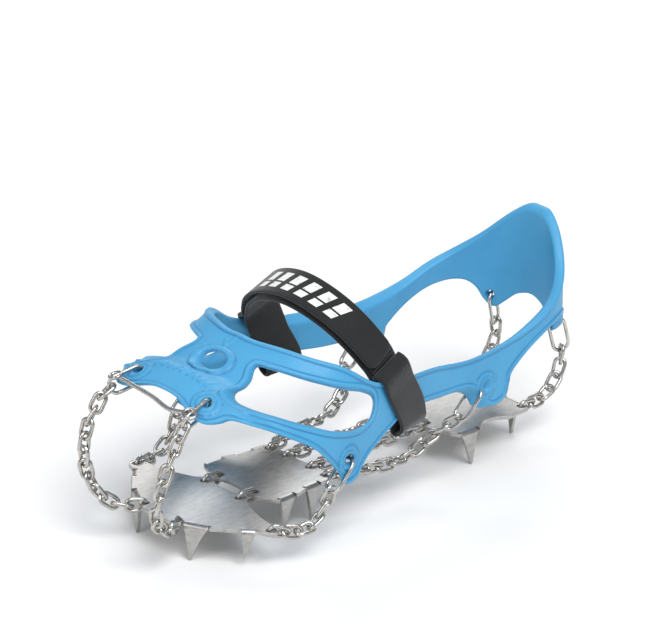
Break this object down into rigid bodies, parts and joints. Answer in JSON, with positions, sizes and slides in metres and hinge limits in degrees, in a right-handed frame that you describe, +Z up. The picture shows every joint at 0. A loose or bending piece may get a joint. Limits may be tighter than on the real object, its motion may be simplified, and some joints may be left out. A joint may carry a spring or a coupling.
{
  "type": "chain crampon",
  "caption": "Light walking crampon in its worn shape: moulded elastomer harness, chains on long rings, hinged pointed steel plates, toe bail and hook-and-loop instep strap.",
  "frame": {"origin": "middle of the seat that the boot's sole stands on: z = 0 is the top of the three plates, x = 0 the middle of a 300 mm boot sole, y = 0 the boot's middle plane", "axes": "+X towards the toe, +Y to the wearer's left, +Z up"},
  "size_m": [0.2979, 0.1276, 0.1241],
  "materials": {
    "elastomer": "smooth moulded elastomer with a satin sheen",
    "webbing": "matt neoprene-faced strap",
    "hook": "ribbed hook tape",
    "bail_wire": "drawn stainless wire",
    "plate_steel": "stamped stainless sheet, satin",
    "chain_steel": "bright tumbled steel"
  },
  "bodies": {
    "harness": {"harness": "elastomer", "strap": "webbing", "hook_patch": "hook"},
    "strap_flap": {"strap_flap": "webbing"},
    "toe_bail": {"toe_bail": "bail_wire"},
    "toe_plate": {"toe_plate": "plate_steel", "left_plate_link": "chain_steel", "right_plate_link": "chain_steel"},
    "ball_plate": {"ball_plate": "plate_steel"},
    "heel_plate": {"heel_plate": "plate_steel"},
    "mid_left": {"mid_left_ring": "chain_steel", "mid_left_chain": "chain_steel"},
    "mid_right": {"mid_right_ring": "chain_steel", "mid_right_chain": "chain_steel"},
    "arch_left": {"arch_left_chain": "chain_steel"},
    "arch_right": {"arch_right_chain": "chain_steel"},
    "front_left_ring": {"front_left_ring": "chain_steel"},
    "front_left_chain": {"front_left_chain": "chain_steel"},
    "rear_left_ring": {"rear_left_ring": "chain_steel"},
    "rear_left_chain": {"rear_left_chain": "chain_steel"},
    "heel_left_ring": {"heel_left_ring": "chain_steel"},
    "heel_left_chain": {"heel_left_chain": "chain_steel"},
    "front_right_ring": {"front_right_ring": "chain_steel"},
    "front_right_chain": {"front_right_chain": "chain_steel"},
    "rear_right_ring": {"rear_right_ring": "chain_steel"},
    "rear_right_chain": {"rear_right_chain": "chain_steel"},
    "heel_right_ring": {"heel_right_ring": "chain_steel"},
    "heel_right_chain": {"heel_right_chain": "chain_steel"}
  },
  "joints": [
    {"name": "forefoot_flex", "type": "hinge", "parent": "harness", "child": "toe_plate", "pos_m": [0.1086, 0, -0.001], "axis": [0, 1, 0], "range_deg": [-5, 1.5]},
    {"name": "ball_hinge", "type": "hinge", "parent": "toe_plate", "child": "ball_plate", "pos_m": [0.062, 0, -0.001], "axis": [0, 1, 0], "range_deg": [-6.3, 10.5]},
    {"name": "heel_pitch", "type": "hinge", "parent": "harness", "child": "heel_plate", "pos_m": [-0.1257, 0, -0.001], "axis": [0, 1, 0], "range_deg": [-5, 5]},
    {"name": "mid_left_swing", "type": "hinge", "parent": "harness", "child": "mid_left", "pos_m": [0.03461, 0.05721, 0.0282], "axis": [0, 1, 0], "range_deg": [-2, 3.3]},
    {"name": "arch_left_swing", "type": "hinge", "parent": "harness", "child": "arch_left", "pos_m": [0.01535, 0, -0.001], "axis": [0, 1, 0], "range_deg": [-3.6, 3.6]},
    {"name": "front_left_ring_roll", "type": "hinge", "parent": "harness", "child": "front_left_ring", "pos_m": [0.09951, 0.02457, 0.06547], "axis": [0.9392, 0.05, -0.3397], "range_deg": [-6, 6]},
    {"name": "front_left_chain_swing", "type": "hinge", "parent": "harness", "child": "front_left_chain", "pos_m": [0.11703, 0.0255, 0.05913], "axis": [-0.1361, -0.1986, -0.9706], "range_deg": [-7, 7]},
    {"name": "rear_left_ring_roll", "type": "hinge", "parent": "harness", "child": "rear_left_ring", "pos_m": [-0.0718, 0.04331, 0.03195], "axis": [0.6601, -0.04, -0.7501], "range_deg": [-6, 6]},
    {"name": "rear_left_chain_swing", "type": "hinge", "parent": "harness", "child": "rear_left_chain", "pos_m": [-0.05949, 0.04256, 0.01796], "axis": [0.9331, -0.269, -0.2387], "range_deg": [-7, 7]},
    {"name": "heel_left_ring_roll", "type": "hinge", "parent": "harness", "child": "heel_left_ring", "pos_m": [-0.15006, 0.02365, 0.04293], "axis": [-0.3008, 0.0501, -0.9524], "range_deg": [-6, 6]},
    {"name": "heel_left_chain_swing", "type": "hinge", "parent": "harness", "child": "heel_left_chain", "pos_m": [-0.15567, 0.02458, 0.02516], "axis": [0.7531, 0.0255, -0.6574], "range_deg": [-7, 7]},
    {"name": "mid_right_swing", "type": "hinge", "parent": "harness", "child": "mid_right", "pos_m": [0.03461, -0.05721, 0.0282], "axis": [0, 1, 0], "range_deg": [-2, 3.3]},
    {"name": "arch_right_swing", "type": "hinge", "parent": "harness", "child": "arch_right", "pos_m": [0.01535, 0, -0.001], "axis": [0, 1, 0], "range_deg": [-3.6, 3.6]},
    {"name": "front_right_ring_roll", "type": "hinge", "parent": "harness", "child": "front_right_ring", "pos_m": [0.09952, -0.02448, 0.06545], "axis": [0.9175, -0.2762, -0.2861], "range_deg": [-6, 6]},
    {"name": "front_right_chain_swing", "type": "hinge", "parent": "harness", "child": "front_right_chain", "pos_m": [0.11663, -0.02963, 0.06011], "axis": [-0.1259, 0.2576, -0.958], "range_deg": [-7, 7]},
    {"name": "rear_right_ring_roll", "type": "hinge", "parent": "harness", "child": "rear_right_ring", "pos_m": [-0.0718, -0.04331, 0.03195], "axis": [0.6601, 0.04, -0.7501], "range_deg": [-6, 6]},
    {"name": "rear_right_chain_swing", "type": "hinge", "parent": "harness", "child": "rear_right_chain", "pos_m": [-0.05949, -0.04256, 0.01796], "axis": [0.9331, 0.269, -0.2387], "range_deg": [-7, 7]},
    {"name": "heel_right_ring_roll", "type": "hinge", "parent": "harness", "child": "heel_right_ring", "pos_m": [-0.15006, -0.02365, 0.04293], "axis": [-0.3008, -0.0501, -0.9524], "range_deg": [-6, 6]},
    {"name": "heel_right_chain_swing", "type": "hinge", "parent": "harness", "child": "heel_right_chain", "pos_m": [-0.15567, -0.02458, 0.02516], "axis": [0.7531, -0.0255, -0.6574], "range_deg": [-7, 7]},
    {"name": "toe_bail_swing", "type": "hinge", "parent": "harness", "child": "toe_bail", "pos_m": [0.11454, -0.00153, 0.0652], "axis": [0.0127, 0.9998, -0.0167], "range_deg": [-6, 6]},
    {"name": "strap_flap_open", "type": "hinge", "parent": "harness", "child": "strap_flap", "pos_m": [-0.01439, -0.05198, 0.03803], "axis": [0.8682, -0.1926, -0.4573], "range_deg": [0, 100]}
  ],
  "couplings": [
    {"joint": "ball_hinge", "follows": "forefoot_flex", "ratio": -2},
    {"joint": "mid_left_swing", "follows": "forefoot_flex", "ratio": -0.62},
    {"joint": "arch_left_swing", "follows": "heel_pitch", "ratio": -0.65},
    {"joint": "mid_right_swing", "follows": "forefoot_flex", "ratio": -0.62},
    {"joint": "arch_right_swing", "follows": "heel_pitch", "ratio": -0.65}
  ]
}
